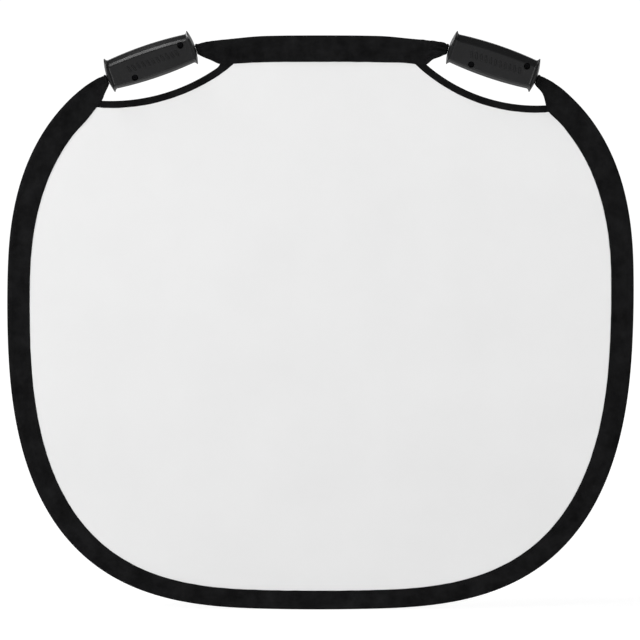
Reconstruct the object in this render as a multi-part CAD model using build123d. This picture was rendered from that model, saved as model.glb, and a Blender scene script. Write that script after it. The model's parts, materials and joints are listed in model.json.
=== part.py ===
from build123d import *
from math import cos, radians, sin
import os

# A hand-held photographic reflector: a white and a silver cloth panel held taut in a spring
# steel hoop, with two moulded grips that turn on the hoop.
# Frame: the disc stands upright in the XZ plane. +Z is up, the white face looks along -Y,
# X = 0 is the middle, Y = 0 is the hoop's plane and Z = 0 is the lowest point of the rim.

# Rim outline: half ovals |x/w|^p + |z/h|^q = 1 above and below the widest height, each as
# (h, p, q), leaning a little to +X as the hoop springs open.
WIDEST_HEIGHT = 409.0
LEAN = 0.0064
RIM_HALF_WIDTH = 400.0
RIM_UPPER = (323.9, 3.068, 2.480)
RIM_LOWER = (409.0, 3.340, 2.660)
SLEEVE_HALF_WIDTH = 371.2
SLEEVE_UPPER = (289.9, 3.345, 2.290)
SLEEVE_LOWER = (385.0, 3.430, 2.700)
RIM = (RIM_HALF_WIDTH, RIM_UPPER, RIM_LOWER)
SLEEVE_EDGE = (SLEEVE_HALF_WIDTH, SLEEVE_UPPER, SLEEVE_LOWER)

# Hoop band: a flat spring steel strip, broad along Y.
BAND_WIDTH = 5.5
BAND_THICKNESS = 1.2
BAND_INSET = 3.3
BAND_BUTT_GAP = 0.6
FERRULE_LENGTH = 32.0
FERRULE_WALL = 0.55
FERRULE_SLIP = 0.3
FERRULE_CORNER = 0.9
SLIP = 0.1

# Sleeves: a thick zone round the band and a thin web out to the stitched edge.
ROLL_THICKNESS = 8.0
ROLL_WIDTH = 9.0
WEB_THICKNESS = 2.6
PANEL_THICKNESS = 0.5
PANEL_INSET = 11.0

# Where the outline leaves the ovals for the necks beside the grips, as oval angles.
LOWER_RIM_ANGLE = 44.0
UPPER_RIM_ANGLE = 81.0
LOWER_EDGE_ANGLE = 47.0
UPPER_EDGE_ANGLE = 79.5
LOWER_GAP_CORNERS = {-1: (-279.0, 650.0), 1: (287.6, 644.4)}
NECK_OUTSIDE = 2.0
NECK_INSIDE = -10.0
WEB_OUTSIDE = -3.0
ANGLE_STEP = 6.0

# Hand openings: the middle and radius of the circle that each binding follows.
OPENING_CIRCLES = {-1: ((-267.7, 887.5), 243.0), 1: ((275.8, 858.2), 219.6)}
BINDING_WIDTH = 9.3
BINDING_THICKNESS = 2.2
BINDING_OVERLAP = 2.0

# Grips: two clamped half shells, turning on bushes on the straight stretch of the band.
GRIP_X = 218.6
GRIP_Z = 699.6
GRIP_TILT = 18.65
LEFT_ROLL = 14.0
RIGHT_ROLL = 12.0
GRIP_HALF_HEIGHT = 21.7
GRIP_END_HALF_HEIGHT = 18.4
GRIP_HALF_DEPTH = 14.6
SHOULDER_SHARE = 0.65
BEVEL_SHARES = (0.723, 0.812)
TOP_HALF_DEPTH = 3.4
SHOULDER_RADIUS = 2.6
BEVEL_RADIUS = 2.6
TOP_RADIUS = 3.4
SHELL_WALL = 3.0
FLARE_START = 51.4
FLANGE_START = 55.2
FLANGE_HALF_HEIGHT = 22.1
FLANGE_HALF_DEPTH = 17.2
DOME_HEIGHT = 3.5
DOME_TOP = 59.65
CAVITY_END = 44.0

BUSH_RADIUS = 5.5
BUSH_CLEARANCE = 0.05
COLLAR_RADIUS = 8.0
COLLAR_CLEARANCE = 0.3
COLLAR_START = 48.0
COLLAR_WIDTH = 3.0
BUSH_INNER_END = 45.0
BUSH_OUTER_END = 59.2
NECK_START = 60.2

TIE_START = 60.6
TIE_LENGTH = 2.2
TIE_WALL = 0.8
TIE_SLACK = 0.3
TIE_CORNER = 1.5
NECK_THICKNESS = 6.0
NECK_LENGTH = 3.0

# Clamp screws: along the grip, above its axis, in each grip's own directions.
SCREW_PLACES = {"low": (-25.6, -11.3), "high": (42.4, 9.5)}
SCREW_RADIUS = 1.5
SCREW_TIP = 9.0
SCREW_HOLE_RADIUS = 1.7
HEAD_RADIUS = 3.5
HEAD_HEIGHT = 2.4
HEAD_ROUNDING = 0.8
HEAD_SEAT = -7.0
RECESS_RADIUS = 4.2
BOSS_RADIUS = 5.6
CROSS_LENGTH = 3.8
CROSS_WIDTH = 0.9
CROSS_DEPTH = 1.4

# Raised finger ribs on both faces of a grip: sizes at their roots, inside the shell's wall.
RIB_COUNT = 11
RIB_PITCH = 6.4
RIB_HEIGHT = 10.2
RIB_WIDTH = 3.7
RIB_ROOT = 1.0
RIB_RISE = 1.1
RIB_TAPER = 30.0
RIB_SLANT = 18.0
RIB_MIDDLE = 1.5
RIB_ALONG = 3.0

SIDES = {"left": -1, "right": 1}
ROLLS = {"left": LEFT_ROLL, "right": RIGHT_ROLL}
ENDS = {"inner": -1, "outer": 1}


# --- outlines -------------------------------------------------------------------------------


def signed_power(value, power):
    """abs(value) ** power, with the sign of value."""
    size = abs(value) ** power
    return size if value >= 0 else -size


def lean(x, z):
    """A point in the hoop's plane, moved across by the hoop's lean."""
    return Vector(x + LEAN * (z - WIDEST_HEIGHT), 0, z)


def oval_point(oval, angle, inset=0.0):
    """A point on one of the rim's ovals, moved inward along the normal by inset."""
    half_width, upper, lower = oval
    across, up = cos(radians(angle)), sin(radians(angle))
    rise, wide_power, tall_power = upper if up >= 0 else lower
    x = half_width * signed_power(across, 2 / wide_power)
    z = rise * signed_power(up, 2 / tall_power)
    normal = Vector(
        signed_power(x / half_width, wide_power - 1) * wide_power / half_width,
        0,
        signed_power(z / rise, tall_power - 1) * tall_power / rise,
    ).normalized()
    return lean(x, WIDEST_HEIGHT + z) - normal * inset


def oval_points(oval, first, last, inset=0.0):
    """Evenly spaced points on an oval, with both ends and the middle of the stretch."""
    steps = 2 * round(abs(last - first) / ANGLE_STEP / 2)
    angles = [first + (last - first) * i / steps for i in range(steps + 1)]
    return [oval_point(oval, angle, inset) for angle in angles]


def beside_grip(side, along, out):
    """A point in the hoop's plane: along the grip's axis away from X = 0, and outward of it."""
    tilt = radians(GRIP_TILT)
    x = along * cos(tilt) + out * sin(tilt)
    z = out * cos(tilt) - along * sin(tilt)
    return lean(side * GRIP_X, GRIP_Z) + Vector(side * x, 0, z)


def grip_direction(side):
    """The direction of a grip's axis, away from X = 0."""
    return (beside_grip(side, 1, 0) - beside_grip(side, 0, 0)).normalized()


def lower_curve(inset, along, out):
    """The rim's curve from beside the right grip, round the bottom, to beside the left one."""
    rim = oval_points(RIM, LOWER_RIM_ANGLE, -180 - LOWER_RIM_ANGLE, inset)
    points = [beside_grip(1, along, out)] + rim + [beside_grip(-1, along, out)]
    directions = [grip_direction(1), -grip_direction(-1)]
    return Spline(points, tangents=directions, tangent_scalars=[1, 1])


def upper_curve(inset, along, out):
    """The rim's curve from beside the left grip, over the top, to beside the right one."""
    rim = oval_points(RIM, 180 - UPPER_RIM_ANGLE, UPPER_RIM_ANGLE, inset)
    points = [beside_grip(-1, -along, out)] + rim + [beside_grip(1, -along, out)]
    directions = [-grip_direction(-1), grip_direction(1)]
    return Spline(points, tangents=directions, tangent_scalars=[1, 1])


def slab(face, thickness):
    """A flat solid of that thickness, centred on the hoop's plane."""
    return extrude(face, amount=thickness / 2, dir=(0, 1, 0), both=True)


# --- hoop -----------------------------------------------------------------------------------


def straight_band():
    """The straight stretch of band through a grip, in the grip's own directions."""
    return Box(2 * BUSH_OUTER_END, BAND_WIDTH, BAND_THICKNESS)


def curved_band(curve):
    """A stretch of band between two grips, from the curves of its two faces."""
    half = BAND_THICKNESS / 2
    outside = curve(BAND_INSET - half, BUSH_OUTER_END, half)
    inside = curve(BAND_INSET + half, BUSH_OUTER_END, -half)
    ends = [Line(outside @ 0, inside @ 0), Line(outside @ 1, inside @ 1)]
    return slab(make_face([outside, inside] + ends), BAND_WIDTH)


def hoop_band():
    """One spring steel strip, its two ends butted at the bottom of the rim."""
    band = curved_band(lower_curve) + curved_band(upper_curve)
    for side in SIDES:
        band += place_in_grip(side, straight_band(), roll=0)
    return band - Pos(0, 0, BAND_INSET) * Box(BAND_BUTT_GAP, 2 * BAND_WIDTH, 4 * BAND_THICKNESS)


def hoop_splice_ferrule():
    """The crimped tube over the band's butted ends."""
    width = BAND_WIDTH + FERRULE_SLIP
    height = BAND_THICKNESS + FERRULE_SLIP
    opening = Rectangle(width, height)
    outline = RectangleRounded(width + 2 * FERRULE_WALL, height + 2 * FERRULE_WALL, FERRULE_CORNER)
    across = Plane(origin=(0, 0, BAND_INSET), x_dir=(0, 1, 0), z_dir=(1, 0, 0))
    return extrude(across * (outline - opening), amount=FERRULE_LENGTH / 2, both=True)


def ferrule_pocket():
    """The room for the ferrule inside the lower sleeve."""
    return Pos(0, 0, BAND_INSET) * Box(
        FERRULE_LENGTH + 2, BAND_WIDTH + 4 * FERRULE_WALL, BAND_THICKNESS + 4 * FERRULE_WALL
    )


# --- cloth ----------------------------------------------------------------------------------


def hand_opening(side, radius_change=0.0):
    """The disc whose edge is the cut-out's, a little larger or smaller by radius_change."""
    (x, z), radius = OPENING_CIRCLES[side]
    return Plane(origin=(x, 0, z), z_dir=(0, 1, 0)) * Circle(radius + radius_change)


def panel_face():
    """The outline that both panels are cut to, with the two hand openings."""
    rim = oval_points(RIM, 0, 360, PANEL_INSET)[:-1]
    face = make_face(Spline(rim, periodic=True))
    for side in SIDES.values():
        face -= hand_opening(side)
    return face


def white_panel():
    """The white front cloth."""
    return extrude(panel_face(), amount=PANEL_THICKNESS, dir=(0, -1, 0))


def silver_panel():
    """The silver back cloth."""
    return extrude(panel_face(), amount=PANEL_THICKNESS, dir=(0, 1, 0))


def web_end(side, end):
    """The corners of a web's end beside a grip, from the outer side to where it widens."""
    outer = beside_grip(side, end * NECK_START, WEB_OUTSIDE)
    inner = beside_grip(side, end * NECK_START, NECK_INSIDE)
    widening = beside_grip(side, end * (NECK_START + NECK_LENGTH), NECK_INSIDE)
    return outer, inner, widening


def lower_web_face():
    """The lower sleeve's web, from inside its roll to its stitched edge."""
    inside = Spline(oval_points(SLEEVE_EDGE, LOWER_EDGE_ANGLE, -180 - LOWER_EDGE_ANGLE))
    edges = [lower_curve(ROLL_WIDTH / 2, NECK_START, WEB_OUTSIDE), inside]
    for side, end in ((1, 0), (-1, 1)):
        x, z = LOWER_GAP_CORNERS[side]
        edges += Polyline(*web_end(side, 1), Vector(x, 0, z), inside @ end).edges()
    return make_face(edges)


def upper_web_face():
    """The upper sleeve's web, from inside its roll to its stitched edge."""
    inside = Spline(oval_points(SLEEVE_EDGE, 180 - UPPER_EDGE_ANGLE, UPPER_EDGE_ANGLE))
    edges = [upper_curve(ROLL_WIDTH / 2, NECK_START, WEB_OUTSIDE), inside]
    for side, end in ((-1, 0), (1, 1)):
        edges += Polyline(*web_end(side, -1), inside @ end).edges()
    return make_face(edges)


def roll_face(curve):
    """The thick zone of a sleeve, next to the rim."""
    outside = curve(0.0, NECK_START, NECK_OUTSIDE)
    inside = curve(ROLL_WIDTH, NECK_START, NECK_INSIDE)
    ends = [Line(outside @ 0, inside @ 0), Line(outside @ 1, inside @ 1)]
    return make_face([outside, inside] + ends)


def band_channel(curve):
    """The room inside a sleeve for the band."""
    half = BAND_THICKNESS / 2 + SLIP
    start = NECK_START - 1
    outside = curve(BAND_INSET - half, start, half)
    inside = curve(BAND_INSET + half, start, -half)
    ends = [Line(outside @ 0, inside @ 0), Line(outside @ 1, inside @ 1)]
    return slab(make_face([outside, inside] + ends), BAND_WIDTH + 2 * SLIP)


def sleeve(web_face, curve):
    """A cloth sleeve round the band, with a thin web that holds the panels' edges."""
    roll = slab(roll_face(curve), ROLL_THICKNESS) - band_channel(curve)
    pocket = slab(panel_face(), 2 * PANEL_THICKNESS)
    body = roll + slab(web_face, WEB_THICKNESS) - pocket
    for cut in neck_steps():
        body -= cut
    return body


def lower_sleeve():
    """The long sleeve, from grip to grip round the bottom."""
    return sleeve(lower_web_face(), lower_curve) - ferrule_pocket()


def upper_sleeve():
    """The short sleeve between the grips."""
    return sleeve(upper_web_face(), upper_curve)


def cutout_binding(side, sleeves):
    """Tape folded over the panels' edge along one hand opening, sleeve to sleeve."""
    ring = hand_opening(side, BINDING_WIDTH / 2) - hand_opening(side, -BINDING_WIDTH / 2)
    window = make_face(Spline(oval_points(SLEEVE_EDGE, 0, 360, -BINDING_OVERLAP)[:-1], periodic=True))
    tape = slab(ring, BINDING_THICKNESS) & slab(window, BINDING_THICKNESS)
    tape -= slab(panel_face(), 2 * PANEL_THICKNESS)
    for solid in sleeves:
        tape -= solid
    return tape


def neck_steps():
    """What is taken off both faces of the sleeves' ends, where the ties go round them."""
    step = (ROLL_THICKNESS - NECK_THICKNESS) / 2
    cuts = []
    for side in SIDES.values():
        for end in ENDS.values():
            middle = beside_grip(side, end * (NECK_START + NECK_LENGTH / 2), 0)
            block = Box(NECK_LENGTH, step, 4 * (NECK_OUTSIDE - NECK_INSIDE))
            for face in (-1, 1):
                depth = face * (ROLL_THICKNESS - step) / 2
                turn = Rot(0, side * GRIP_TILT, 0)
                cuts.append(Pos(middle.X, depth, middle.Z) * turn * block)
    return cuts


def neck_tie(side, end):
    """The thread whipping that gathers a sleeve's end onto the band beside a grip."""
    height = NECK_OUTSIDE - NECK_INSIDE + 2 * TIE_SLACK
    depth = NECK_THICKNESS + 2 * SLIP
    middle = (NECK_OUTSIDE + NECK_INSIDE) / 2
    start = beside_grip(side, end * TIE_START, middle)
    across = Plane(origin=start, x_dir=(0, 1, 0), z_dir=grip_direction(side) * end)
    outline = RectangleRounded(depth + 2 * TIE_WALL, height + 2 * TIE_WALL, TIE_CORNER)
    return extrude(across * (outline - Rectangle(depth, height)), amount=TIE_LENGTH)


# --- grips ----------------------------------------------------------------------------------
# In a grip's own directions X runs along the axis, the front faces -Y and Z is up.


def place_in_grip(side_name, solid, roll=None):
    """Moves a solid from a grip's own directions to its place on the hoop."""
    side = SIDES[side_name]
    turn = ROLLS[side_name] if roll is None else roll
    place = Pos(lean(side * GRIP_X, GRIP_Z)) * Rot(0, side * GRIP_TILT, 0)
    return place * Rot(turn, 0, 0) * solid


def grip_section(along, half_height, half_depth, trim=0.0):
    """A section with flat front and back and bevelled shoulders, trimmed a little for a cavity."""
    bevel_depth, bevel_height = BEVEL_SHARES
    quarter = [
        (half_depth, SHOULDER_SHARE * half_height - trim / 2),
        (bevel_depth * half_depth, bevel_height * half_height),
        (TOP_HALF_DEPTH - trim / 2, half_height),
    ]
    half = quarter + [(-y, z) for y, z in reversed(quarter)]
    corners = half + [(-y, -z) for y, z in half]
    rounding = [SHOULDER_RADIUS, BEVEL_RADIUS, TOP_RADIUS]
    radii = 2 * (rounding + rounding[::-1])
    outline = FilletPolyline(*corners, radius=[r - trim / 2 for r in radii], close=True)
    across = Plane(origin=(along, 0, 0), x_dir=(0, 1, 0), z_dir=(1, 0, 0))
    return across * make_face(outline)


def barrel_half_height(along):
    """Half the barrel's height at a place along the grip."""
    drop = (GRIP_HALF_HEIGHT - GRIP_END_HALF_HEIGHT) * (along / FLANGE_START) ** 2
    return GRIP_HALF_HEIGHT - drop


def barrel(end, wall=0.0):
    """The barrel between -end and end, or its cavity when a wall's thickness is given."""
    places = [share * end for share in (-1, -0.5, 0, 0.5, 1)]
    depth = GRIP_HALF_DEPTH - wall
    return loft([grip_section(u, barrel_half_height(u) - wall, depth, wall) for u in places])


def flange(end):
    """The flared guard at one end of a grip, before its outer face is domed."""
    sections = []
    for share in (0, 0.35, 0.65, 0.85, 1):
        along = FLARE_START + (FLANGE_START - FLARE_START) * share
        height = barrel_half_height(along)
        height += (FLANGE_HALF_HEIGHT - height) * share**2
        depth = GRIP_HALF_DEPTH + (FLANGE_HALF_DEPTH - GRIP_HALF_DEPTH) * share**2
        sections.append(grip_section(along, height, depth))
    guard = loft(sections) + extrude(sections[-1], DOME_TOP - FLANGE_START + 1, (1, 0, 0))
    return guard if end > 0 else mirror(guard, Plane.YZ)


def dome(end):
    """The ball that cuts an end's outer face to its dome."""
    radius = (FLANGE_HALF_HEIGHT**2 + DOME_HEIGHT**2) / (2 * DOME_HEIGHT)
    return Pos(end * (DOME_TOP - radius), 0, 0) * Sphere(radius)


def outer_body():
    """The outside of a grip, as one solid."""
    body = barrel(FLARE_START)
    for end in ENDS.values():
        body += flange(end)
    for end in ENDS.values():
        body &= dome(end)
    return body


def along_axis(radius, start, stop):
    """A cylinder on the grip's axis."""
    return Pos((start + stop) / 2, 0, 0) * Rot(0, 90, 0) * Cylinder(radius, stop - start)


def across_axis(place, radius, front, back):
    """A cylinder through a grip from front to back, at a screw's place."""
    along, up = place
    return Pos(along, (front + back) / 2, up) * Rot(90, 0, 0) * Cylinder(radius, back - front)


def bush_seats():
    """The bores and collar grooves in both ends of a grip."""
    groove_radius = COLLAR_RADIUS + COLLAR_CLEARANCE
    bore = along_axis(BUSH_RADIUS + BUSH_CLEARANCE, -DOME_TOP - 1, DOME_TOP + 1)
    start = COLLAR_START - COLLAR_CLEARANCE
    stop = COLLAR_START + COLLAR_WIDTH + COLLAR_CLEARANCE
    return bore + along_axis(groove_radius, start, stop) + along_axis(groove_radius, -stop, -start)


def grip_inside():
    """The hollow of a grip, with its screw bosses left standing."""
    hollow = barrel(CAVITY_END, SHELL_WALL)
    for place in SCREW_PLACES.values():
        hollow -= across_axis(place, BOSS_RADIUS, -GRIP_HALF_DEPTH, GRIP_HALF_DEPTH)
    return hollow + bush_seats()


def finger_ribs(face):
    """The row of raised ribs on the front (-1) or rear (1) face, sloping in to their tops."""
    outline = SlotOverall(RIB_HEIGHT, RIB_WIDTH)
    rib = extrude(outline, amount=RIB_ROOT + RIB_RISE, taper=RIB_TAPER)
    upright = Rot(0, 90 - RIB_SLANT, 0) * Rot(-face * 90, 0, 0) * rib
    root = face * (GRIP_HALF_DEPTH - RIB_ROOT)
    start = RIB_ALONG - RIB_PITCH * (RIB_COUNT - 1) / 2
    return [Pos(start + RIB_PITCH * n, root, RIB_MIDDLE) * upright for n in range(RIB_COUNT)]


def shell_half(face):
    """One half shell of a grip: face is -1 for the front and 1 for the rear."""
    depth = 2 * FLANGE_HALF_DEPTH
    half_space = Pos(0, face * depth / 2, 0) * Box(4 * DOME_TOP, depth, 4 * GRIP_HALF_HEIGHT)
    shell = (outer_body() & half_space) - grip_inside()
    for rib in finger_ribs(face):
        shell += rib
    for place in SCREW_PLACES.values():
        if face < 0:
            shell -= across_axis(place, RECESS_RADIUS, -2 * GRIP_HALF_DEPTH, HEAD_SEAT)
            shell -= across_axis(place, SCREW_HOLE_RADIUS, HEAD_SEAT - 1, 1)
        else:
            shell -= across_axis(place, SCREW_RADIUS, -1, SCREW_TIP)
    return shell


def clamp_screw(place):
    """A pan head screw with a cross recess, seated in the front shell."""
    along, up = place
    screw = across_axis(place, SCREW_RADIUS, HEAD_SEAT - 1, SCREW_TIP)
    head = across_axis(place, HEAD_RADIUS, HEAD_SEAT - HEAD_HEIGHT, HEAD_SEAT)
    head = fillet(head.edges().sort_by(Axis.Y)[0], HEAD_ROUNDING)
    for length, height in ((CROSS_LENGTH, CROSS_WIDTH), (CROSS_WIDTH, CROSS_LENGTH)):
        slot = Box(length, CROSS_DEPTH, height)
        head -= Pos(along, HEAD_SEAT - HEAD_HEIGHT + CROSS_DEPTH / 2, up) * slot
    return screw + head


def swivel_bush(end):
    """A round bush clamped on the flat band, with a collar that keeps the grip in place."""
    bush = along_axis(BUSH_RADIUS, BUSH_INNER_END, BUSH_OUTER_END)
    bush += along_axis(COLLAR_RADIUS, COLLAR_START, COLLAR_START + COLLAR_WIDTH)
    bush -= Box(3 * BUSH_OUTER_END, BAND_WIDTH, BAND_THICKNESS)
    return bush if end > 0 else mirror(bush, Plane.YZ)


# --- the whole object -----------------------------------------------------------------------


def hoop_parts():
    """The band and its ferrule, and the four bushes on it."""
    parts = {"hoop_band": hoop_band(), "hoop_splice_ferrule": hoop_splice_ferrule()}
    for side_name, side in SIDES.items():
        for end_name, end in ENDS.items():
            bush = place_in_grip(side_name, swivel_bush(side * end), roll=0)
            parts[f"{side_name}_{end_name}_bush"] = bush
    return parts


def cloth_parts():
    """The panels, sleeves, bindings and neck ties."""
    sleeves = {"lower_sleeve": lower_sleeve(), "upper_sleeve": upper_sleeve()}
    parts = {"white_panel": white_panel(), "silver_panel": silver_panel(), **sleeves}
    for side_name, side in SIDES.items():
        parts[f"{side_name}_cutout_binding"] = cutout_binding(side, sleeves.values())
        for end_name, end in ENDS.items():
            parts[f"{side_name}_{end_name}_neck_tie"] = neck_tie(side, end)
    return parts


def grip_parts():
    """The shells and screws of both grips."""
    shapes = {"front_shell": shell_half(-1), "rear_shell": shell_half(1)}
    for name, place in SCREW_PLACES.items():
        shapes[f"{name}_screw"] = clamp_screw(place)
    return {
        f"{side_name}_grip_{name}": place_in_grip(side_name, shape)
        for side_name in SIDES
        for name, shape in shapes.items()
    }


os.makedirs("parts", exist_ok=True)
for node, shape in {**hoop_parts(), **cloth_parts(), **grip_parts()}.items():
    export_step(shape, f"parts/{node}.step")
    print(node, len(shape.solids()), round(shape.volume))
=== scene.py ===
import json
import math
import random

import bpy
import numpy as np
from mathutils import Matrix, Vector, noise


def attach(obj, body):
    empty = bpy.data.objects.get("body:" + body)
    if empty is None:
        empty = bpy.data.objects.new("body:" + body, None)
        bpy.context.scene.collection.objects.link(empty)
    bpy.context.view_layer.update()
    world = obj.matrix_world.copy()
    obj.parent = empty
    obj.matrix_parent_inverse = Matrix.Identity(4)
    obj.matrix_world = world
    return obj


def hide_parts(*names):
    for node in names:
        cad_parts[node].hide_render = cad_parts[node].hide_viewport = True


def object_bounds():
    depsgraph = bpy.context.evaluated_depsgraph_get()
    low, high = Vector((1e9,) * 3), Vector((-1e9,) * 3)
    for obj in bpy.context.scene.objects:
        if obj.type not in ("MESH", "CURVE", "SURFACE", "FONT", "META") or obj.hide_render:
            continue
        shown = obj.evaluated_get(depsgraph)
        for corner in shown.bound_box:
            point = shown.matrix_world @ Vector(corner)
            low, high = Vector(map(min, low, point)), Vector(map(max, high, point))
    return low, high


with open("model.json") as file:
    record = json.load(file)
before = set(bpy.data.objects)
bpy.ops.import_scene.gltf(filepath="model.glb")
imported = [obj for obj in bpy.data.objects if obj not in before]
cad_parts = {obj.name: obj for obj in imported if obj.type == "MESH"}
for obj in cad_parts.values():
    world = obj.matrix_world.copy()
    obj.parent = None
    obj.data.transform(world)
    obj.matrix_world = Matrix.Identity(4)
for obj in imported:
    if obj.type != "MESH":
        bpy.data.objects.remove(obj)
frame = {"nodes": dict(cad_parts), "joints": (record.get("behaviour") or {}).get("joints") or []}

# The looks of a collapsible reflector disc, built round its CAD frame. Lengths here are in
# millimetres unless a name ends in _M or _m. Meshes are written in metres, and the materials'
# own sizes are in metres. X runs across the disc, Y through it (the white face looks along -Y)
# and Z up, as in the frame.

MM = 0.001
CAD_LOW, CAD_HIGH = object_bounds()
SIDES = {"left": -1, "right": 1}

# The rim's and the sleeve edge's half ovals: half width, then (rise, two powers) above and
# below the widest height, all leaning a little to +X.
WIDEST_HEIGHT = 409.0
LEAN = 0.0064
RIM = (400.0, (323.9, 3.068, 2.480), (409.0, 3.340, 2.660))
SLEEVE_EDGE = (371.2, (289.9, 3.345, 2.290), (385.0, 3.430, 2.700))
PANEL_INSET = 11.0

# Necks of the sleeves, as (along, out) places beside a grip's axis: each pair is a point on
# the outer edge and its partner on the inner edge. The two sides differ a little. The lower
# sleeve's corners have their inner partner as (x, z) in the frame.
NECK_END = ((59.92, 2.0), (59.28, -10.0))
UPPER_TAPER = {
    "left": (((70.0, 1.6), (66.0, -17.0)), ((80.0, 0.4), (74.5, -24.3)),
             ((91.5, -1.9), (81.4, -30.8)), ((104.8, -5.0), (94.1, -35.4))),
    "right": (((66.0, 2.0), (62.4, -12.6)), ((72.6, 1.4), (66.2, -16.2)),
              ((80.5, 0.4), (73.4, -22.2)), ((92.3, -1.9), (79.4, -31.0)),
              ((104.8, -5.0), (94.1, -35.4))),
}
LOWER_TAPER = {
    "left": (((69.0, 1.6), (65.0, -16.2)), ((79.0, -0.2), (70.5, -22.2))),
    "right": (((69.0, 1.6), (67.0, -15.0)), ((79.0, -0.2), (75.6, -21.9))),
}
LOWER_CORNERS = {
    "left": (((86.0, -2.0), (-279.0, 650.0)), ((93.0, -4.2), (-287.0, 639.3))),
    "right": (((86.0, -2.0), (287.6, 644.4)), ((93.0, -4.2), (290.5, 636.5))),
}

# Cut-outs: the middle and radius of the circle that each panel edge and binding follows, and
# the X places where the binding goes under the upper and the lower sleeve. A flare widens
# the binding at its upper end.
CUTOUT_CIRCLES = {"left": ((-267.7, 887.5), 243.0), "right": ((275.8, 858.2), 219.6)}
BINDING_ENDS = {"left": (-121.0, -279.0), "right": (129.0, 287.0)}
BINDING_WIDTH = 9.3
BINDING_FLARES = {"left": 2.8, "right": 0.0}
FLARE_LENGTH = 11.0


# --- curves in the hoop's plane ---------------------------------------------------------------

CURVE_STEPS = 40


def signed_power(value, power):
    """abs(value) ** power with value's sign."""
    return math.copysign(abs(value) ** power, value)


def oval_point(oval, angle, inset=0.0):
    """A point (x, z) on one of the ovals at an angle in degrees, moved inward by inset."""
    half_width, upper, lower = oval
    across, up = math.cos(math.radians(angle)), math.sin(math.radians(angle))
    rise, wide_power, tall_power = upper if up >= 0 else lower
    point = np.array([
        half_width * signed_power(across, 2 / wide_power),
        rise * signed_power(up, 2 / tall_power),
    ])
    normal = np.array([
        signed_power(point[0] / half_width, wide_power - 1) * wide_power / half_width,
        signed_power(point[1] / rise, tall_power - 1) * tall_power / rise,
    ])
    leaning = np.array([point[0] + LEAN * point[1], point[1] + WIDEST_HEIGHT])
    return leaning - inset * normal / np.linalg.norm(normal)


def grip_axes(side_name):
    """A grip's middle, the direction of its axis away from X = 0, and outward of it."""
    joint = next(j for j in frame["joints"] if j["name"] == f"{side_name}_grip_swivel")
    side = SIDES[side_name]
    middle = np.array([joint["pos_m"][0], joint["pos_m"][2]]) / MM
    away = side * np.array([joint["axis"][0], joint["axis"][2]])
    outward = np.array([-side * away[1], side * away[0]])
    return middle, away, outward


def beside_grip(side_name, along, out):
    """A point (x, z) at a place along a grip's axis, away from X = 0, and outward of it."""
    middle, away, outward = grip_axes(side_name)
    return middle + along * away + out * outward


def spline_slopes(keys, gaps, first_slope, last_slope):
    """The slope at each key row of the smooth curve that has the given slopes at its ends."""
    count = len(keys)
    matrix = np.eye(count)
    right = np.zeros_like(keys)
    right[0], right[-1] = first_slope, last_slope
    rises = np.diff(keys, axis=0) / gaps[:, None]
    for i in range(1, count - 1):
        matrix[i, i - 1 : i + 2] = gaps[i], 2 * (gaps[i - 1] + gaps[i]), gaps[i - 1]
        right[i] = 3 * (gaps[i - 1] * rises[i] + gaps[i] * rises[i - 1])
    return np.linalg.solve(matrix, right)


def smooth_path(keys, first_slope, last_slope, step):
    """Rows every step along the smooth curve through the key rows, and each row's length so far.

    A row may hold several points side by side; the first two columns measure the length."""
    keys = np.array(keys, float)
    gaps = np.linalg.norm(np.diff(keys[:, :2], axis=0), axis=1)
    slopes = spline_slopes(keys, gaps, first_slope, last_slope)
    fine = []
    for i, gap in enumerate(gaps):
        t = np.linspace(0, 1, CURVE_STEPS, endpoint=i == len(gaps) - 1)[:, None]
        fine.append(
            (1 + 2 * t) * (1 - t) ** 2 * keys[i]
            + t**2 * (3 - 2 * t) * keys[i + 1]
            + gap * t * (1 - t) ** 2 * slopes[i]
            - gap * t**2 * (1 - t) * slopes[i + 1]
        )
    fine = np.vstack(fine)
    length = np.concatenate([[0], np.cumsum(np.linalg.norm(np.diff(fine[:, :2], axis=0), axis=1))])
    places = np.linspace(0, length[-1], max(2, round(length[-1] / step)) + 1)
    rows = np.column_stack([np.interp(places, length, column) for column in fine.T])
    return rows, places


def ease(value):
    """0 to 1, smoothly, as value goes from 0 to 1."""
    value = min(1.0, max(0.0, value))
    return value * value * (3 - 2 * value)


def rounded(distance, radius):
    """0 to 1 over a quarter circle, as the distance from an edge goes from 0 to radius."""
    return math.sqrt(1 - (1 - min(1.0, distance / radius)) ** 2)


def wander(*place):
    """Smooth noise from about -1 to 1 at a place."""
    x, y, z = (list(place) + [0.0, 0.0])[:3]
    return noise.noise(Vector((x, y, z)))


# --- meshes -----------------------------------------------------------------------------------


def make_piece(name, points, faces, material, uvs=None):
    """A smooth mesh object from points in millimetres, riding on the root body."""
    mesh = bpy.data.meshes.new(name)
    mesh.from_pydata([tuple(MM * c for c in p) for p in points], [], faces)
    mesh.validate()
    if uvs is not None:
        layer = mesh.uv_layers.new(name="cloth")
        for loop in mesh.loops:
            layer.data[loop.index].uv = uvs[loop.vertex_index]
    mesh.polygons.foreach_set("use_smooth", [True] * len(mesh.polygons))
    mesh.materials.append(material)
    piece = bpy.data.objects.new(name, mesh)
    bpy.context.scene.collection.objects.link(piece)
    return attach(piece, "root")


def tube_faces(rings, count):
    """Quads between rings of count points each, with a flat cap at both ends."""
    faces = []
    for i in range(rings - 1):
        here, there = i * count, (i + 1) * count
        for k in range(count):
            after = (k + 1) % count
            faces.append((here + k, here + after, there + after, there + k))
    faces.append(tuple(reversed(range(count))))
    faces.append(tuple(range((rings - 1) * count, rings * count)))
    return faces


def join_shapes(shapes):
    """Several (points, faces) as one."""
    points, faces = [], []
    for more_points, more_faces in shapes:
        start = len(points)
        points += more_points
        faces += [tuple(start + v for v in face) for face in more_faces]
    return points, faces


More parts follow.
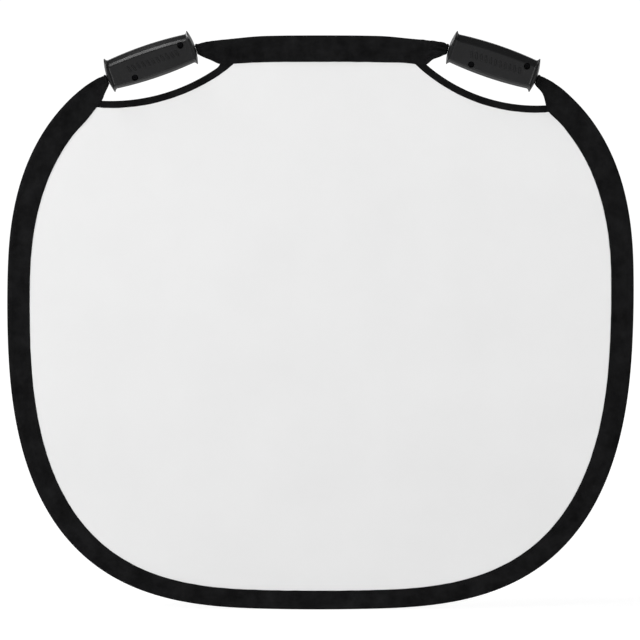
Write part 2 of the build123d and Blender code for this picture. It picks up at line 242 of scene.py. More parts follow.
def strip_piece(name, strip, divisions, material):
    """A closed strip of cloth between a strip's two edges, thick as its height says."""
    shares = [(1 - math.cos(math.pi * k / divisions)) / 2 for k in range(divisions + 1)]
    around = [(f, -1) for f in shares] + [(f, 1) for f in shares[-2:0:-1]]
    points, uvs = [], []
    for i in range(len(strip.places)):
        for share, face in around:
            points.append(strip.point(i, share, face))
            uvs.append((MM * strip.places[i], MM * share * strip.widths[i]))
    faces = tube_faces(len(strip.places), len(around))
    return make_piece(name, points, faces, material, uvs)


class Strip:
    """Matching outer and inner edge points of a strip of cloth, and its half thickness."""

    def __init__(self, rows, places, height, seed, gathers=(0, 0)):
        self.outer, self.inner = rows[:, :2], rows[:, 2:]
        self.gathers = gathers
        self.places = places
        self.widths = np.linalg.norm(self.inner - self.outer, axis=1)
        self.height = height
        self.seed = seed
        self.ruffle()

    def ruffle(self):
        """Makes the outer edge wavy where the cloth is gathered, and the hem a little uneven."""
        across = (self.outer - self.inner) / self.widths[:, None]
        for i, place in enumerate(self.places):
            end = self.from_end(i)
            near = math.exp(-((end / 28) ** 2)) * ease(end / 5)
            self.outer[i] += 0.8 * self.gathering(i) * near * wander(place / 5, self.seed) * across[i]
            self.inner[i] += 0.25 * ease(end / 20) * wander(place / 14, 3 * self.seed) * across[i]

    def gathering(self, i):
        """How strongly the nearer end of the strip is gathered."""
        return self.gathers[0 if self.places[i] < self.places[-1] / 2 else 1]

    def from_end(self, i):
        """How far a station is from the nearer end of the strip."""
        return min(self.places[i], self.places[-1] - self.places[i])

    def point(self, i, share, face):
        """A surface point at a share of the width, on the front (-1) or back (1) face."""
        x, z = self.outer[i] + share * (self.inner[i] - self.outer[i])
        edge = 1 if 0 < share < 1 else 0
        y = face * edge * self.height(self, i, share, face)
        return x, y, z


THREAD_RADIUS = 0.3
THREAD_FLATNESS = 0.8
STITCH_CORNERS = 5
# A stitch's rings: share of the pitch along the row, share of the thread's radius, and lift
# off the cloth in radii. Both ends are thin and sunk, where the thread goes through.
STITCH_RINGS = ((0.10, 0.35, -0.35), (0.26, 1.0, 0.02), (0.64, 1.0, 0.02), (0.80, 0.35, -0.35))


def stitch_ring(strip, place, from_inner, face, radius, lift):
    """The thread's corner points at a place along the strip and a distance from its inner edge."""
    i = min(len(strip.places) - 2, max(1, int(np.searchsorted(strip.places, place))))
    before, after = (
        np.array(strip.point(j, 1 - from_inner / strip.widths[j], face)) for j in (i - 1, i)
    )
    t = (place - strip.places[i - 1]) / (strip.places[i] - strip.places[i - 1])
    centre = before + t * (after - before) + np.array([0, face * lift * THREAD_RADIUS, 0])
    across = (strip.inner[i] - strip.outer[i]) / strip.widths[i]
    ring = []
    for corner in range(STITCH_CORNERS):
        angle = 2 * math.pi * corner / STITCH_CORNERS + math.pi / 2
        side, up = math.cos(angle), math.sin(angle)
        ring.append((
            centre[0] + across[0] * side * radius * THREAD_RADIUS,
            centre[1] + face * up * radius * THREAD_RADIUS * THREAD_FLATNESS,
            centre[2] + across[1] * side * radius * THREAD_RADIUS,
        ))
    return ring


def thread_row(strip, from_inner, face, pitch, first_skip):
    """Points and faces of a row of stitches at a distance from the strip's inner edge."""
    faces = tube_faces(len(STITCH_RINGS), STITCH_CORNERS)
    if face < 0:
        faces = [side[::-1] for side in faces]
    stitches = []
    for n in range(int((strip.places[-1] - 2 * first_skip) / pitch)):
        points = []
        for slide, radius, lift in STITCH_RINGS:
            place = first_skip + (n + slide) * pitch
            points += stitch_ring(strip, place, from_inner, face, radius, lift)
        stitches.append((points, faces))
    return join_shapes(stitches)


def stitches_piece(name, strip, rows, pitch, first_skip, material):
    """The rows of stitches on both faces of a strip, as one piece."""
    shapes = [thread_row(strip, row, face, pitch, first_skip) for row in rows for face in (-1, 1)]
    return make_piece(name, *join_shapes(shapes), material)


# --- materials --------------------------------------------------------------------------------


# The scale of a wave texture that makes a ridge every metre.
WAVE_SCALE = 2 * math.pi / 20


class Nodes:
    """A material being built round one Principled shader."""

    def __init__(self, name, color, roughness, **sockets):
        self.material = bpy.data.materials.new(name)
        self.material.use_nodes = True
        self.tree = self.material.node_tree
        self.shader = self.tree.nodes["Principled BSDF"]
        self.set("Base Color", (*color, 1.0))
        self.set("Roughness", roughness)
        for socket, value in sockets.items():
            self.set(socket.replace("_", " "), value)

    def set(self, socket, value):
        self.shader.inputs[socket].default_value = value

    def add(self, kind, links=None, **values):
        """A node of that kind, with its properties and input sockets set."""
        node = self.tree.nodes.new("ShaderNode" + kind)
        for key, value in values.items():
            setattr(node, key, value)
        for key, source in (links or {}).items():
            if hasattr(source, "is_output"):
                self.tree.links.new(source, node.inputs[key])
            else:
                node.inputs[key].default_value = source
        return node

    def math(self, operation, *values):
        """The result of a Math node; a value is a number or another node's output."""
        return self.add("Math", dict(enumerate(values)), operation=operation).outputs[0]

    def ramp(self, factor, *stops):
        """A colour ramp: stops are (position, (r, g, b))."""
        node = self.add("ValToRGB", {"Fac": factor})
        elements = node.color_ramp.elements
        for element, (position, color) in zip(elements, (stops[0], stops[-1])):
            element.position = position
            element.color = (*color, 1.0)
        for position, color in stops[1:-1]:
            elements.new(position).color = (*color, 1.0)
        return node.outputs["Color"]

    def link(self, output, socket):
        self.tree.links.new(output, self.shader.inputs[socket])

    def bump(self, height, distance_m, strength, normal=None):
        links = {"Height": height, "Distance": distance_m, "Strength": strength}
        if normal is not None:
            links["Normal"] = normal
        return self.add("Bump", links).outputs["Normal"]

    def object_place(self):
        return self.add("TexCoord").outputs["Object"]

    def cloth_place(self):
        return self.add("UVMap", uv_map="cloth").outputs["UV"]

    def noise(self, place, size_m, detail=2.0, roughness=0.5):
        links = {"Vector": place, "Scale": 1 / size_m, "Detail": detail, "Roughness": roughness}
        return self.add("TexNoise", links).outputs["Fac"]

    def waves(self, place, period_m, direction):
        """Parallel ridges, one each period along X, Y or Z, or along the diagonal."""
        links = {"Vector": place, "Scale": WAVE_SCALE / period_m, "Distortion": 0.0}
        return self.add("TexWave", links, bands_direction=direction).outputs["Fac"]


def shade(color, factor):
    """A colour made lighter or darker by a factor."""
    return tuple(min(1.0, c * factor) for c in color)


def white_cloth():
    """Smooth white polyester: a fine plain weave with a very faint cloudiness."""
    color = (0.80, 0.80, 0.80)
    made = Nodes("white_cloth", color, 0.82, Sheen_Weight=0.15, Sheen_Roughness=0.5,
                 Specular_IOR_Level=0.25)
    place = made.object_place()
    cloud = made.noise(place, 0.11, 3.0)
    made.link(made.ramp(cloud, (0.3, shade(color, 0.985)), (0.7, shade(color, 1.01))), "Base Color")
    weave = made.math("MAXIMUM", made.waves(place, 0.00055, "X"), made.waves(place, 0.00055, "Z"))
    slub = made.noise(place, 0.004, 3.0, 0.6)
    fine = made.bump(weave, 0.00005, 0.35)
    made.link(made.bump(slub, 0.00012, 0.25, fine), "Normal")
    return made.material


def silver_cloth():
    """Metallised cloth: a grey metal sheen broken up by fine crinkles and a coarse weave."""
    color = (0.66, 0.67, 0.69)
    made = Nodes("silver_cloth", color, 0.34, Metallic=0.95)
    place = made.object_place()
    crinkle = made.add("TexVoronoi", {"Vector": place, "Scale": 330.0, "Randomness": 1.0},
                       feature="SMOOTH_F1").outputs["Distance"]
    weave = made.math("MAXIMUM", made.waves(place, 0.0011, "X"), made.waves(place, 0.0011, "Z"))
    tarnish = made.noise(place, 0.05, 4.0, 0.6)
    made.link(made.ramp(tarnish, (0.35, shade(color, 0.96)), (0.7, shade(color, 1.03))), "Base Color")
    rough = made.ramp(tarnish, (0.3, (0.33,) * 3), (0.75, (0.40,) * 3))
    made.link(rough, "Roughness")
    coarse = made.bump(crinkle, 0.0006, 0.45)
    made.link(made.bump(weave, 0.00012, 0.5, coarse), "Normal")
    return made.material


def black_cloth(name, color, period_m, direction, fuzz):
    """Black woven polyester along the strip, with a faint fuzz and worn, lighter patches."""
    made = Nodes(name, color, 0.85, Sheen_Weight=fuzz, Sheen_Roughness=0.6,
                 Specular_IOR_Level=0.03)
    made.set("Sheen Tint", (0.8, 0.82, 0.85, 1.0))
    strip, place = made.cloth_place(), made.object_place()
    rub = made.noise(place, 0.024, 6.0, 0.68)
    made.link(made.ramp(rub, (0.3, shade(color, 0.45)), (0.7, shade(color, 1.75))), "Base Color")
    threads = made.waves(strip, period_m, direction)
    cross = made.waves(strip, period_m * 1.3, "Y")
    weave = made.math("MULTIPLY", made.math("ADD", threads, cross), 0.5)
    slub = made.noise(place, 0.0025, 3.0, 0.6)
    fine = made.bump(weave, 0.0001, 0.6)
    made.link(made.bump(slub, 0.00025, 0.4, fine), "Normal")
    return made.material


def thread(name, color):
    """Twisted sewing thread, its colour darker in the grooves of the twist and lighter on its ridges:
    painted shade and painted highlight.
    """
    made = Nodes(name, color, 0.6, Sheen_Weight=0.02, Specular_IOR_Level=0.08)
    place = made.object_place()
    twist = made.waves(place, 0.00045, "DIAGONAL")
    # Painted shade and painted highlight: the colour follows the twist's bump, darker in its grooves
    # and lighter on its ridges.
    made.link(made.ramp(twist, (0.2, shade(color, 0.7)), (0.8, shade(color, 1.4))), "Base Color")
    made.link(made.bump(twist, 0.0001, 0.5), "Normal")
    return made.material


def grip_plastic():
    """Black moulded plastic with a fine sparked grain, a little shinier where hands rub."""
    color = (0.0105, 0.0105, 0.011)
    made = Nodes("grip_plastic", color, 0.34, Specular_IOR_Level=0.22)
    place = made.object_place()
    rub = made.noise(place, 0.035, 4.0, 0.6)
    made.link(made.ramp(rub, (0.3, shade(color, 0.85)), (0.75, shade(color, 1.25))), "Base Color")
    made.link(made.ramp(rub, (0.3, (0.38,) * 3), (0.75, (0.29,) * 3)), "Roughness")
    grain = made.noise(place, 0.0007, 3.0, 0.65)
    made.link(made.bump(grain, 0.00006, 0.5), "Normal")
    return made.material


def smooth_plastic():
    """Smooth black acetal, very finely mottled."""
    color = (0.03, 0.03, 0.031)
    made = Nodes("bush_plastic", color, 0.35)
    place = made.object_place()
    mottle = made.noise(place, 0.0012, 2.0)
    made.link(made.ramp(mottle, (0.3, shade(color, 0.85)), (0.7, shade(color, 1.2))), "Base Color")
    made.link(made.bump(mottle, 0.00003, 0.4), "Normal")
    return made.material


def metal(name, color, roughness, grain_m, stretch):
    """Bare or blackened steel with drawn grain and patches of wear."""
    made = Nodes(name, color, roughness, Metallic=1.0)
    place = made.object_place()
    drawn = made.add("Mapping", {"Vector": place, "Scale": stretch}).outputs["Vector"]
    grain = made.noise(drawn, grain_m, 3.0, 0.6)
    patches = made.noise(place, 0.012, 4.0, 0.6)
    made.link(made.ramp(patches, (0.3, shade(color, 0.75)), (0.75, shade(color, 1.25))), "Base Color")
    low, high = roughness * 0.8, roughness * 1.25
    made.link(made.ramp(grain, (0.3, (low,) * 3), (0.7, (high,) * 3)), "Roughness")
    made.link(made.bump(grain, 0.00003, 0.5), "Normal")
    return made.material


# --- cloth pieces -----------------------------------------------------------------------------

ROLL_HALF_THICKNESS = 3.8
ROLL_MIDDLE = 3.9
ROLL_FADE = 4.6
WEB_HALF_THICKNESS = 1.2
HEM_WIDTH = 6.4
HEM_RISE = 0.32
HEM_ROWS = (1.9, 5.3)
HEM_STITCH_PITCH = 3.4
HEM_STITCH_SKIP = 26
HEM_GROOVE_DEPTH = 0.26
HEM_GROOVE_WIDTH = 0.55
HEM_PUCKER_PITCH = 6.8
HEM_PUCKER_RISE = 0.16
HEM_PUCKER_WIDTH = 3.2
EDGE_ROUNDING = 1.0
NECK_HALF_THICKNESS = 3.05
NECK_BLEND = 26.0
SPLICE_RISE = 0.3
SPLICE_HALF_LENGTH = 20.0
# The half thickness that the cloth keeps over the band, how far inside the outer edge the
# band's middle lies, and half of the width that it covers.
BAND_COVER = 3.1
BAND_PLACE = 2.7
BAND_HALF_WIDTH = 2.0
SLEEVE_DIVISIONS = 34
# Where the sleeves follow the ovals: first and last angle, and number of key rows.
LOWER_BODY = (46.0, -226.0, 50)
UPPER_BODY = (94.5, 85.5, 10)
LOWER_STEP = 2.4
UPPER_STEP = 1.5
# How the edges leave a neck: the inner edge's slope along the grip, and its slope inward.
END_ALONG = 0.6
END_SPREAD = 0.7


def groove(distance, width):
    """A smooth dip of depth 1 that fades at about width from its middle."""
    return math.exp(-((distance / width) ** 2))


def roll_height(from_outer):
    """Half the thickness of the roll round the band, and of the web that it runs into."""
    if from_outer < ROLL_MIDDLE:
        return ROLL_HALF_THICKNESS * rounded(from_outer, ROLL_MIDDLE)
    fade = math.exp(-(((from_outer - ROLL_MIDDLE) / ROLL_FADE) ** 2))
    return WEB_HALF_THICKNESS + (ROLL_HALF_THICKNESS - WEB_HALF_THICKNESS) * fade


def hem_relief(place, from_inner, seed):
    """What the hem, its stitched grooves and the puckers along it add to the height."""
    relief = HEM_RISE * ease(1.6 * (1 - from_inner / HEM_WIDTH))
    relief -= HEM_GROOVE_DEPTH * sum(groove(from_inner - row, HEM_GROOVE_WIDTH) for row in HEM_ROWS)
    pucker = math.sin(2 * math.pi * place / HEM_PUCKER_PITCH + 2.5 * wander(place / 21, seed))
    return relief + HEM_PUCKER_RISE * pucker * groove(from_inner - HEM_WIDTH, HEM_PUCKER_WIDTH)


def sleeve_height(strip, i, share, face):
    """Half the sleeve's thickness: the roll round the band, the web, the hem and the creases."""
    width = strip.widths[i]
    place, end = strip.places[i], strip.from_end(i)
    from_outer, from_inner = share * width, (1 - share) * width
    height = roll_height(from_outer) + hem_relief(place, from_inner, strip.seed)
    height *= rounded(from_inner, EDGE_ROUNDING)
    from_splice = (place - strip.places[-1] / 2) / SPLICE_HALF_LENGTH
    height += SPLICE_RISE * math.exp(-(from_splice**4))
    neck = NECK_HALF_THICKNESS * (1 - abs(2 * share - 1) ** 5) ** 0.2
    near = ease(1 - end / NECK_BLEND)
    height += near * (neck - height)
    belly = math.sin(math.pi * share) ** 0.6
    height += 0.30 * wander(place / 34, share * 2.2, face * 3 + strip.seed) * belly
    over_band = BAND_COVER * (1 - abs((from_outer - BAND_PLACE) / BAND_HALF_WIDTH) ** 6)
    return max(height + belly * neck_folds(strip, i, share, face), over_band)


def neck_folds(strip, i, share, face):
    """Folds that run out of a neck, and the looser creases beyond them."""
    place, end = strip.places[i], strip.from_end(i)
    folds = 3.4 * share + 0.6 * wander(end / 18, strip.seed + 7 * face) + 0.17 * face + end / 80
    deep = 0.85 * math.exp(-((end / 36) ** 1.5)) * ease(end / 5 + 0.25)
    slanted = place / 9 + share * strip.widths[i] / 7
    crease = wander(slanted, share * strip.widths[i] / 12 - place / 40, strip.seed + face)
    loose = 0.6 * math.exp(-((end / 55) ** 2))
    return strip.gathering(i) * (deep * math.sin(2 * math.pi * folds) + loose * crease)


def edge_pair(side_name, pair, end=1):
    """A key row of a strip, from an (along, out) pair beside a grip."""
    return np.concatenate([beside_grip(side_name, end * along, out) for along, out in pair])


def end_slope(side_name, end):
    """How a strip's two edges leave a neck, spreading apart."""
    _, away, outward = grip_axes(side_name)
    return np.concatenate([end * away, END_ALONG * end * away - END_SPREAD * outward])


def oval_pairs(first_angle, last_angle, count):
    """Key rows of a strip between the rim and the sleeve's edge."""
    angles = np.linspace(first_angle, last_angle, count)
    return [np.concatenate([oval_point(RIM, a), oval_point(SLEEVE_EDGE, a)]) for a in angles]


def lower_sleeve_strip():
    """The long sleeve's edges, from the right grip round the bottom to the left one."""
    ends = {}
    for name in SIDES:
        ends[name] = [edge_pair(name, pair) for pair in (NECK_END, *LOWER_TAPER[name])]
        for place, corner in LOWER_CORNERS[name]:
            ends[name].append(np.concatenate([beside_grip(name, *place), corner]))
    keys = ends["right"] + oval_pairs(*LOWER_BODY) + ends["left"][::-1]
    first, last = end_slope("right", 1), -end_slope("left", 1)
    rows, places = smooth_path(keys, first, last, LOWER_STEP)
    return Strip(rows, places, sleeve_height, 1.7, gathers=(1.0, 0.7))


def upper_sleeve_strip():
    """The short sleeve's edges, from the left grip over the top to the right one."""
    ends = {}
    for name in SIDES:
        ends[name] = [edge_pair(name, pair, -1) for pair in (NECK_END, *UPPER_TAPER[name])]
    keys = ends["left"] + oval_pairs(*UPPER_BODY) + ends["right"][::-1]
    first, last = end_slope("left", -1), -end_slope("right", -1)
    rows, places = smooth_path(keys, first, last, UPPER_STEP)
    return Strip(rows, places, sleeve_height, 5.3, gathers=(0.9, 2.6))


BINDING_HALF_THICKNESS = 1.15
BINDING_ROWS = (2.5, 6.8)
BINDING_STITCH_PITCH = 2.8
BINDING_STITCH_SKIP = 4
BINDING_GROOVE_DEPTH = 0.30
BINDING_GROOVE_WIDTH = 0.6
BINDING_PUCKER_PITCH = 4.6
BINDING_ROUNDING = 1.1
BINDING_TUCK = 13.0
BINDING_DIVISIONS = 20
BINDING_STATIONS = 170


def binding_height(strip, i, share, face):
    """Half the binding's thickness: rounded folds, two stitched grooves and end puckers."""
    width = strip.widths[i]
    place, end = strip.places[i], strip.from_end(i)
    from_inner = (1 - share) * width
    from_edge = min(from_inner, width - from_inner)
    height = BINDING_HALF_THICKNESS + 0.12 * math.cos(2 * math.pi * (share - 0.5))
    grooves = sum(groove(from_inner - row, BINDING_GROOVE_WIDTH) for row in BINDING_ROWS)
    height -= BINDING_GROOVE_DEPTH * grooves
    height *= rounded(from_edge, BINDING_ROUNDING)
    shown = end - BINDING_TUCK
    pucker = math.sin(2 * math.pi * place / BINDING_PUCKER_PITCH + 2 * wander(place / 17, strip.seed))
    height += (0.07 + 0.2 * math.exp(-abs(shown) / 9)) * pucker * math.sin(math.pi * share)
    height += 0.14 * wander(place / 15, share * 3, face + strip.seed) * math.sin(math.pi * share)
    return height * (0.45 + 0.55 * ease((shown + 3) / 5))


def binding_strip(side_name):
    """One binding's edges along its cut-out, tucked into both sleeves."""
    centre, radius = CUTOUT_CIRCLES[side_name]
    start, stop = (-math.acos((x - centre[0]) / radius) for x in sorted(BINDING_ENDS[side_name]))
    tuck = BINDING_TUCK / radius
    angles = np.linspace(start - tuck, stop + tuck, BINDING_STATIONS)
    ring = np.column_stack([np.cos(angles), np.sin(angles)])
    half = BINDING_WIDTH / 2
    places = radius * (angles - angles[0])
    from_top = (places if side_name == "right" else places[-1] - places) - BINDING_TUCK
    flare = np.array([BINDING_FLARES[side_name] * ease(1 - d / FLARE_LENGTH) for d in from_top])
    outer = (radius - half - flare)[:, None] * ring
    rows = np.hstack([centre + outer, centre + (radius + half) * ring])
    return Strip(rows, places, binding_height, 9.1 * SIDES[side_name])


PANEL_MIDDLE = np.array([0.0, WIDEST_HEIGHT])
PANEL_REACH = (200.0, 500.0)
PANEL_SPOKES = 540
PANEL_RINGS = 46
PANEL_GAP = 0.16
PANEL_CLOTH = 0.22


def panel_wave(x, z):
    """How far the stretched panels stand off the hoop's plane, front to back."""
    across = (x / 400) ** 2 + ((z - WIDEST_HEIGHT + 30) / 370) ** 2
    loose = max(0.0, 1 - across) ** 0.7
    wave = 1.3 * wander(x / 230, z / 260, 0.4) + 0.5 * wander(x / 90, z / 110, 2.7)
    return loose * wave


def inside_panel(point):
    """True for a point inside the rim, clear of its edge and of both cut-outs."""
    half_width, upper, lower = RIM
    z = point[1] - WIDEST_HEIGHT
    x = point[0] - LEAN * z
    rise, wide_power, tall_power = upper if z >= 0 else lower
    share_x = abs(x) / (half_width - PANEL_INSET)
    share_z = abs(z) / (rise - PANEL_INSET)
    if share_x**wide_power + share_z**tall_power > 1:
        return False
    centre, radius = CUTOUT_CIRCLES["left" if x < 0 else "right"]
    return math.hypot(*(point - centre)) > radius


def panel_edge(angle):
    """The panels' edge, as a point (x, z) in a direction from the middle, in radians."""
    direction = np.array([math.cos(angle), math.sin(angle)])
    low, high = PANEL_REACH
    for _ in range(30):
        reach = (low + high) / 2
        if inside_panel(PANEL_MIDDLE + reach * direction):
            low = reach
        else:
            high = reach
    return PANEL_MIDDLE + low * direction


def panel_faces(face):
    """The faces of a sheet's two layers, then of the edge that joins them."""
    layer = 1 + PANEL_RINGS * PANEL_SPOKES
    faces = []
    for base, flip in ((0, face > 0), (layer, face < 0)):
        for k in range(PANEL_SPOKES):
            after = (k + 1) % PANEL_SPOKES
            sides = [(base, base + 1 + k, base + 1 + after)]
            for ring in range(PANEL_RINGS - 1):
                near = base + 1 + ring * PANEL_SPOKES
                far = near + PANEL_SPOKES
                sides.append((near + k, far + k, far + after, near + after))
            faces += [side[::-1] if flip else side for side in sides]
    rim = layer - PANEL_SPOKES
    other = rim + layer
    for k in range(PANEL_SPOKES):
        after = (k + 1) % PANEL_SPOKES
        quad = (rim + k, other + k, other + after, rim + after)
        faces.append(quad[::-1] if face > 0 else quad)
    return faces


def panel_piece(name, face, material, edge):
    """One taut sheet: a thin closed mesh over the panel's outline, just off the middle plane."""
    rings = [1 - (1 - k / PANEL_RINGS) ** 1.35 for k in range(1, PANEL_RINGS + 1)]
    flat = [tuple(PANEL_MIDDLE)]
    flat += [tuple(PANEL_MIDDLE + ring * (point - PANEL_MIDDLE)) for ring in rings for point in edge]
    points = []
    for offset in (PANEL_GAP, PANEL_GAP + PANEL_CLOTH):
        points += [(x, panel_wave(x, z) + face * offset, z) for x, z in flat]
    return make_piece(name, points, panel_faces(face), material)


# Whippings: where they lie along a grip's axis, how far the neck under them reaches outward
# and inward of it, how far off the neck the thread's middle runs (there, and front and back),
# and the thread itself. Slack makes the turns a little uneven.
TIE_PLACE = (60.6, 62.8)
TIE_OUTSIDE = 2.0
TIE_INSIDE = -10.0
TIE_OFF_EDGES = 0.45
TIE_OFF_FACES = 0.5
TIE_THREAD_RADIUS = 0.42
TIE_TURNS = 3
TIE_STEPS = 44
TIE_CORNERS = 8
TIE_SLACK = 0.012
TIE_SQUARENESS = 0.55


def tie_piece(name, side_name, end, material):
    """Turns of thread whipped round a sleeve's end, as one closed coil."""
    _, away, outward = grip_axes(side_name)
    first, last = TIE_PLACE
    middle = (TIE_OUTSIDE + TIE_INSIDE) / 2
    half_height = (TIE_OUTSIDE - TIE_INSIDE) / 2 + TIE_OFF_EDGES
    half_depth = NECK_HALF_THICKNESS + TIE_OFF_FACES
    radius = TIE_THREAD_RADIUS
    last_step = TIE_TURNS * TIE_STEPS
    rng = random.Random(f"{side_name}{end}")
    points = []
    for n in range(last_step + 1):
        turn = 2 * math.pi * n / TIE_STEPS
        along = first + radius + (last - first - 2 * radius) * (n / last_step)
        slack = 1 + TIE_SLACK * rng.uniform(-1, 1)
        flat = [signed_power(wave, TIE_SQUARENESS) for wave in (math.cos(turn), math.sin(turn))]
        normal = np.array([flat[0] / half_height, flat[1] / half_depth])
        normal /= np.linalg.norm(normal)
        for k in range(TIE_CORNERS):
            angle = 2 * math.pi * k / TIE_CORNERS
            swell = radius * math.cos(angle)
            out = middle + half_height * flat[0] * slack + normal[0] * swell
            y = half_depth * flat[1] * slack + normal[1] * swell
            x, z = beside_grip(side_name, end * (along + radius * math.sin(angle)), out)
            points.append((x, y, z))
    return make_piece(name, points, tube_faces(last_step + 1, TIE_CORNERS), material)


# --- the stage --------------------------------------------------------------------------------

STAGE_MIDDLE = Vector((0, 0, (CAD_LOW.z + CAD_HIGH.z) / 2))
CAMERA_ACROSS_M = -0.0007
CAMERA_DISTANCE_M = 4.0
CAMERA_WIDTH_M = 0.8175
SENSOR = 36.0

# Soft lights: direction from the disc's middle, distance and size in metres, and power.
LIGHTS = {
    "key": ((-0.357, -0.226, 0.907), 3.68, (0.9, 0.75), 42),
    "left_fill": ((-0.75, -0.80, 0.20), 3.2, (1.4, 1.6), 49),
    "right_fill": ((0.80, -0.75, 0.10), 3.2, (1.4, 1.6), 41),
    "back_left": ((-0.68, 0.70, 0.45), 3.2, (1.2, 1.2), 25),
}

# The studio's own light, from in front of the disc (To Min) to behind it (To Max).
BACKDROP_SEEN = 1.05
STUDIO_LIGHT = {"From Min": 0.5, "From Max": 0.85, "To Min": 0.07, "To Max": 0.9}

# The floor's glow from 1 m to 5 m away from its middle, and the share of it that lights the disc.
FLOOR_HALF_M = 30.0
FLOOR_DROP_M = 0.0005
FLOOR_GLOW = {"From Min": 1.0, "From Max": 5.0, "To Min": 0.8, "To Max": 1.05}
FLOOR_BOUNCE = 0.5


def make_camera():
    """Straight in front of the disc's middle, level, with the disc across nearly all the view."""
    data = bpy.data.cameras.new("camera")
    data.sensor_width = SENSOR
    data.lens = SENSOR * CAMERA_DISTANCE_M / CAMERA_WIDTH_M
    camera = bpy.data.objects.new("camera", data)
    camera.location = (CAMERA_ACROSS_M, -CAMERA_DISTANCE_M, STAGE_MIDDLE.z)
    camera.rotation_euler = (math.pi / 2, 0, 0)
    bpy.context.scene.collection.objects.link(camera)
    bpy.context.scene.camera = camera


def area_light(name, direction, distance_m, size_m, watts):
    """A soft white rectangular light that faces the disc's middle from a direction."""
    data = bpy.data.lights.new(name, "AREA")
    data.shape = "RECTANGLE"
    data.size, data.size_y = size_m
    data.energy = watts
    light = bpy.data.objects.new(name, data)
    back = Vector(direction).normalized()
    light.location = STAGE_MIDDLE + back * distance_m
    light.rotation_mode = "QUATERNION"
    light.rotation_quaternion = back.to_track_quat("Z", "Y")
    bpy.context.scene.collection.objects.link(light)


def make_world():
    """A dim studio that is bright behind the disc. The camera sees plain white all round."""
    world = bpy.data.worlds.new("studio")
    bpy.context.scene.world = world
    world.use_nodes = True
    tree = world.node_tree
    tree.nodes.clear()
    output = tree.nodes.new("ShaderNodeOutputWorld")
    mix = tree.nodes.new("ShaderNodeMixShader")
    path = tree.nodes.new("ShaderNodeLightPath")
    seen = tree.nodes.new("ShaderNodeBackground")
    light = tree.nodes.new("ShaderNodeBackground")
    place = tree.nodes.new("ShaderNodeTexCoord")
    split = tree.nodes.new("ShaderNodeSeparateXYZ")
    ramp = tree.nodes.new("ShaderNodeMapRange")
    seen.inputs["Color"].default_value = (1, 1, 1, 1)
    seen.inputs["Strength"].default_value = BACKDROP_SEEN
    tree.links.new(place.outputs["Generated"], split.inputs[0])
    tree.links.new(split.outputs["Y"], ramp.inputs["Value"])
    for socket, value in STUDIO_LIGHT.items():
        ramp.inputs[socket].default_value = value
    tree.links.new(ramp.outputs["Result"], light.inputs["Strength"])
    tree.links.new(path.outputs["Is Camera Ray"], mix.inputs[0])
    tree.links.new(light.outputs[0], mix.inputs[1])
    tree.links.new(seen.outputs[0], mix.inputs[2])
    tree.links.new(mix.outputs[0], output.inputs[0])


def make_floor():
    """A plain white floor that meets the background, and lights the disc less than it shows."""
    half = FLOOR_HALF_M
    mesh = bpy.data.meshes.new("floor")
    z = CAD_LOW.z - FLOOR_DROP_M
    corners = [(-half, -half, z), (half, -half, z), (half, half, z), (-half, half, z)]
    mesh.from_pydata(corners, [], [(0, 1, 2, 3)])
    made = Nodes("floor_white", (0.45, 0.45, 0.45), 0.9, Specular_IOR_Level=0.05)
    made.set("Emission Color", (1, 1, 1, 1))
    away = made.add("VectorMath", {0: made.object_place()}, operation="LENGTH").outputs["Value"]
    glow = made.add("MapRange", {"Value": away, **FLOOR_GLOW}).outputs["Result"]
    seen = made.add("LightPath").outputs["Is Camera Ray"]
    share = made.math("MULTIPLY_ADD", seen, 1 - FLOOR_BOUNCE, FLOOR_BOUNCE)
    made.link(made.math("MULTIPLY", glow, share), "Emission Strength")
    mesh.materials.append(made.material)
    floor = bpy.data.objects.new("floor", mesh)
    bpy.context.scene.collection.objects.link(floor)


# --- everything together ----------------------------------------------------------------------

make_camera()
make_world()
make_floor()
bpy.context.scene.view_settings.view_transform = "Standard"
for light_name, settings in LIGHTS.items():
    area_light(light_name, *settings)

WHITE = white_cloth()
SILVER = silver_cloth()
SLEEVE = black_cloth("sleeve_cloth", (0.0068, 0.0068, 0.0071), 0.0007, "DIAGONAL", 0.01)
TAPE = black_cloth("binding_tape", (0.0058, 0.0058, 0.0060), 0.0008, "X", 0.01)
THREAD = thread("thread", (0.006, 0.006, 0.0065))

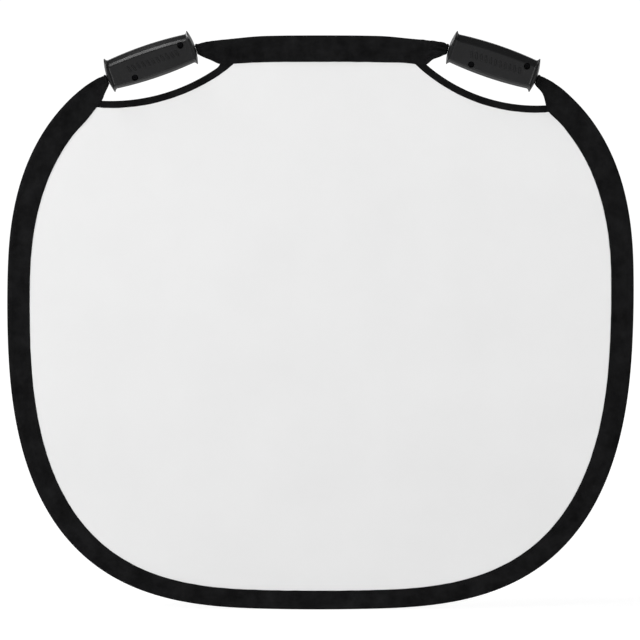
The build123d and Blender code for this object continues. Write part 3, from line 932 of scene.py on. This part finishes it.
around = []
sleeves = {"lower_sleeve": lower_sleeve_strip(), "upper_sleeve": upper_sleeve_strip()}
for sleeve_name, strip in sleeves.items():
    piece = strip_piece(f"{sleeve_name}_cloth", strip, SLEEVE_DIVISIONS, SLEEVE)
    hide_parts(sleeve_name)
    stitches = stitches_piece(
        f"{sleeve_name}_stitches", strip, HEM_ROWS, HEM_STITCH_PITCH, HEM_STITCH_SKIP, THREAD
    )
    around += [piece, stitches]

for side_name in SIDES:
    strip = binding_strip(side_name)
    piece = strip_piece(f"{side_name}_cutout_tape", strip, BINDING_DIVISIONS, TAPE)
    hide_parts(f"{side_name}_cutout_binding")
    stitches = stitches_piece(
        f"{side_name}_cutout_stitches", strip, BINDING_ROWS,
        BINDING_STITCH_PITCH, BINDING_STITCH_SKIP, THREAD,
    )
    around += [piece, stitches]
    for end_name, end in (("inner", -1), ("outer", 1)):
        tie = tie_piece(f"{side_name}_{end_name}_whipping", side_name, end, THREAD)
        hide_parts(f"{side_name}_{end_name}_neck_tie")

EDGE = [panel_edge(2 * math.pi * k / PANEL_SPOKES) for k in range(PANEL_SPOKES)]
white_sheet = panel_piece("white_sheet", -1, WHITE, EDGE)
silver_sheet = panel_piece("silver_sheet", 1, SILVER, EDGE)
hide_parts("white_panel")
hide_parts("silver_panel")

GRIP = grip_plastic()
BUSH = smooth_plastic()
SCREW = metal("screw_steel", (0.010, 0.010, 0.011), 0.42, 0.0006, (1, 1, 1))
BAND = metal("spring_steel", (0.30, 0.31, 0.34), 0.32, 0.0008, (0.1, 1, 0.1))
FERRULE = metal("ferrule_steel", (0.55, 0.55, 0.56), 0.36, 0.0008, (0.1, 1, 1))
NODE_MATERIALS = {"hoop_band": BAND, "hoop_splice_ferrule": FERRULE}
for node in frame["nodes"]:
    if node.endswith("_shell"):
        NODE_MATERIALS[node] = GRIP
    elif node.endswith("_screw"):
        NODE_MATERIALS[node] = SCREW
    elif node.endswith("_bush"):
        NODE_MATERIALS[node] = BUSH
for node, material in NODE_MATERIALS.items():
    for material_slot in frame["nodes"][node].material_slots:
        material_slot.material = material
